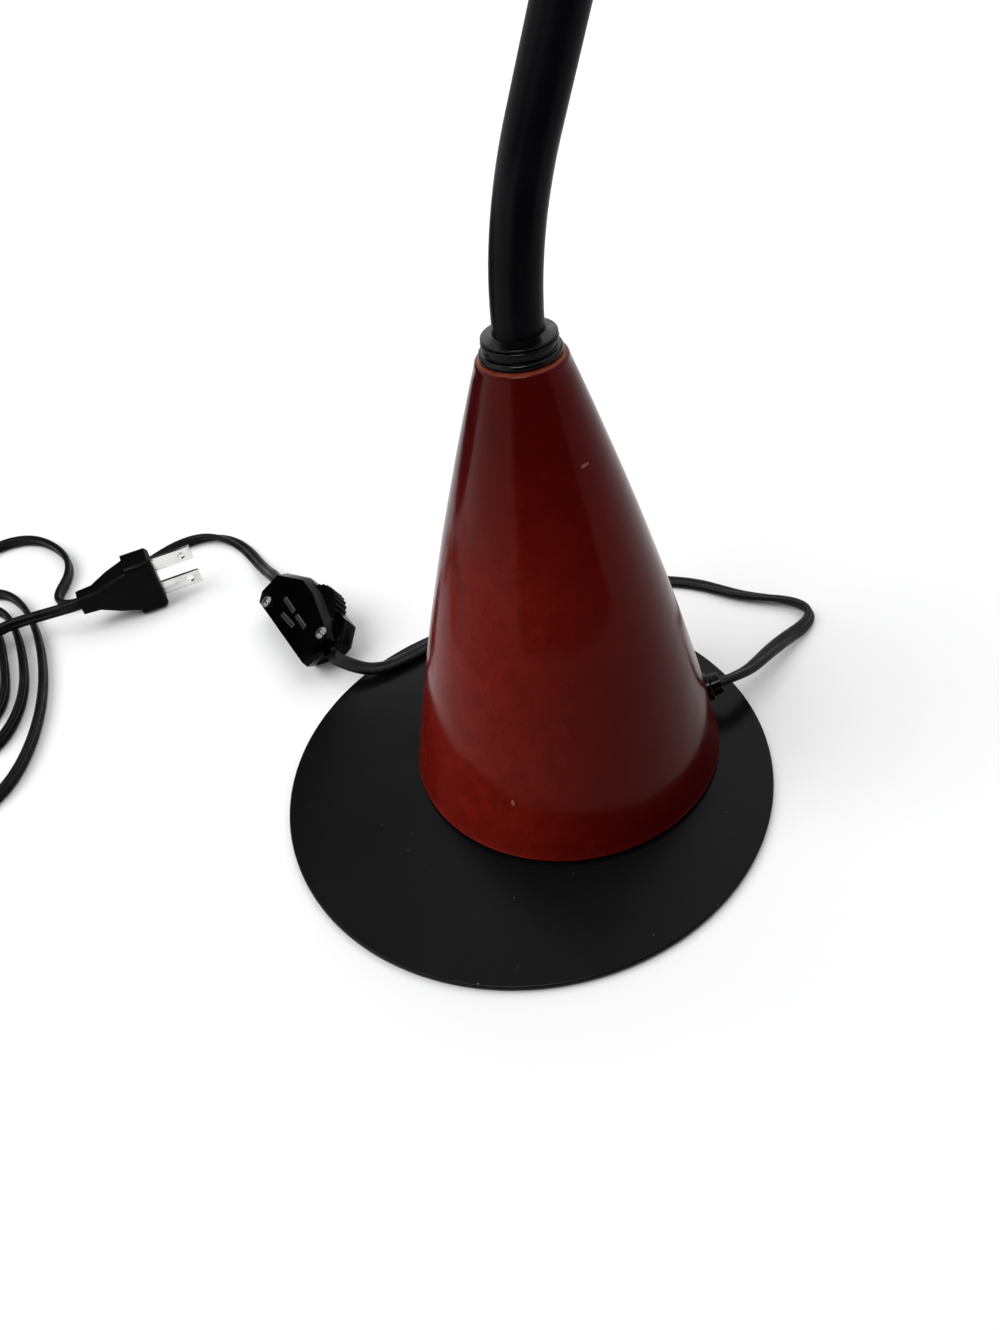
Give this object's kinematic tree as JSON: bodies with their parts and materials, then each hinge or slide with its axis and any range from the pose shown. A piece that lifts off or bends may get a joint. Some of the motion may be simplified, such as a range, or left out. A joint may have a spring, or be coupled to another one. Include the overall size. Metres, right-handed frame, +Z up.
{
  "type": "gooseneck desk lamp",
  "caption": "Desk lamp with a round steel foot, hollow ceramic cone, flexible sleeved neck, spun metal shade and a corded thumbwheel switch with plug.",
  "frame": {"origin": "centre of the felt pad's underside, where the foot rests on the desk", "axes": "+Z up; -Y is the front, towards which the neck bends and the shade looks; +Y is the back, where the cone and neck stand; the cord leaves at the back right and lies to the left"},
  "size_m": [0.3719, 0.3365, 0.4012],
  "materials": {
    "felt": "dark felt",
    "black_steel": "satin black paint",
    "foam": "dark foam",
    "glaze": "glossy oxblood glaze, lighter towards the foot",
    "black_plastic": "satin black moulded plastic",
    "gloss_black": "glossy black moulded plastic",
    "zinc_steel": "zinc-plated steel",
    "core_steel": "steel core of the neck",
    "sleeve": "smooth black vinyl sleeve",
    "brass_shell": "plain brass",
    "bulb_metal": "plain metal",
    "bulb_glass": "frosted white glass",
    "nickel": "bright nickel plate",
    "cord_vinyl": "semi-gloss black vinyl"
  },
  "bodies": {
    "base": {"felt_pad": "felt", "base_plate": "black_steel", "cone_gasket": "foam", "ceramic_cone": "glaze", "cord_bush": "black_plastic", "stem_pipe": "zinc_steel", "base_washer": "zinc_steel", "base_nut": "zinc_steel", "collar_ring": "black_plastic", "collar_cap": "black_plastic", "neck_link_1": "core_steel", "neck_sleeve_1": "sleeve", "switch_base": "gloss_black", "switch_cover": "gloss_black", "switch_contacts": "brass_shell", "switch_screws": "nickel", "plug_body": "black_plastic", "plug_blades": "nickel", "cord_lamp": "cord_vinyl", "cord_arc": "cord_vinyl", "cord_hank": "cord_vinyl", "cord_tail": "cord_vinyl"},
    "neck_1": {"neck_link_2": "core_steel", "neck_sleeve_2": "sleeve"},
    "neck_2": {"neck_link_3": "core_steel", "neck_sleeve_3": "sleeve"},
    "neck_3": {"neck_link_4": "core_steel", "neck_sleeve_4": "sleeve"},
    "neck_4": {"neck_link_5": "core_steel", "neck_sleeve_5": "sleeve"},
    "neck_5": {"neck_link_6": "core_steel", "neck_sleeve_6": "sleeve"},
    "neck_6": {"neck_link_7": "core_steel", "neck_sleeve_7": "sleeve"},
    "neck_7": {"neck_link_8": "core_steel", "neck_sleeve_8": "sleeve"},
    "head": {"neck_link_9": "core_steel", "head_collar": "black_plastic", "socket_cap": "black_steel", "socket_nut": "zinc_steel", "lampholder": "black_plastic", "screw_shell": "brass_shell", "centre_contact": "brass_shell", "shade": "black_steel", "shade_ring": "black_plastic", "bulb_cap": "bulb_metal", "bulb_glass": "bulb_glass"},
    "thumbwheel": {"switch_wheel": "gloss_black"}
  },
  "joints": [
    {"name": "neck_bend_1", "type": "hinge", "parent": "base", "child": "neck_1", "pos_m": [0, 0.02084, 0.1758], "axis": [1, 0, 0], "range_deg": [-15, 10], "deforming": ["neck_sleeve_1"]},
    {"name": "neck_swing_2", "type": "hinge", "parent": "neck_1", "child": "neck_2", "pos_m": [0, 0.03888, 0.22015], "axis": [0, 0.9041, -0.4274], "range_deg": [-18, 18], "deforming": ["neck_sleeve_2"]},
    {"name": "neck_bend_3", "type": "hinge", "parent": "neck_2", "child": "neck_3", "pos_m": [0, 0.05863, 0.26389], "axis": [1, 0, 0], "range_deg": [-15, 10], "deforming": ["neck_sleeve_3"]},
    {"name": "neck_swing_4", "type": "hinge", "parent": "neck_3", "child": "neck_4", "pos_m": [0, 0.07146, 0.30999], "axis": [0, 0.994, -0.1097], "range_deg": [-18, 18], "deforming": ["neck_sleeve_4"]},
    {"name": "neck_bend_5", "type": "hinge", "parent": "neck_4", "child": "neck_5", "pos_m": [0, 0.06574, 0.35705], "axis": [1, 0, 0], "range_deg": [-15, 10], "deforming": ["neck_sleeve_5"]},
    {"name": "neck_bend_6", "type": "hinge", "parent": "neck_5", "child": "neck_6", "pos_m": [0, 0.03233, 0.38994], "axis": [1, 0, 0], "range_deg": [-15, 10], "deforming": ["neck_sleeve_6"]},
    {"name": "neck_swing_7", "type": "hinge", "parent": "neck_6", "child": "neck_7", "pos_m": [0, -0.0146, 0.39018], "axis": [0, -0.3371, 0.9415], "range_deg": [-18, 18], "deforming": ["neck_sleeve_7"]},
    {"name": "neck_bend_8", "type": "hinge", "parent": "neck_7", "child": "head", "pos_m": [0, -0.05307, 0.36226], "axis": [1, 0, 0], "range_deg": [-15, 10], "deforming": ["neck_sleeve_8"]},
    {"name": "switch_turn", "type": "hinge", "parent": "base", "child": "thumbwheel", "pos_m": [-0.11493, -0.01903, 0.0119], "axis": [-0.0401, -0.4678, 0.8829], "continuous": true}
  ]
}
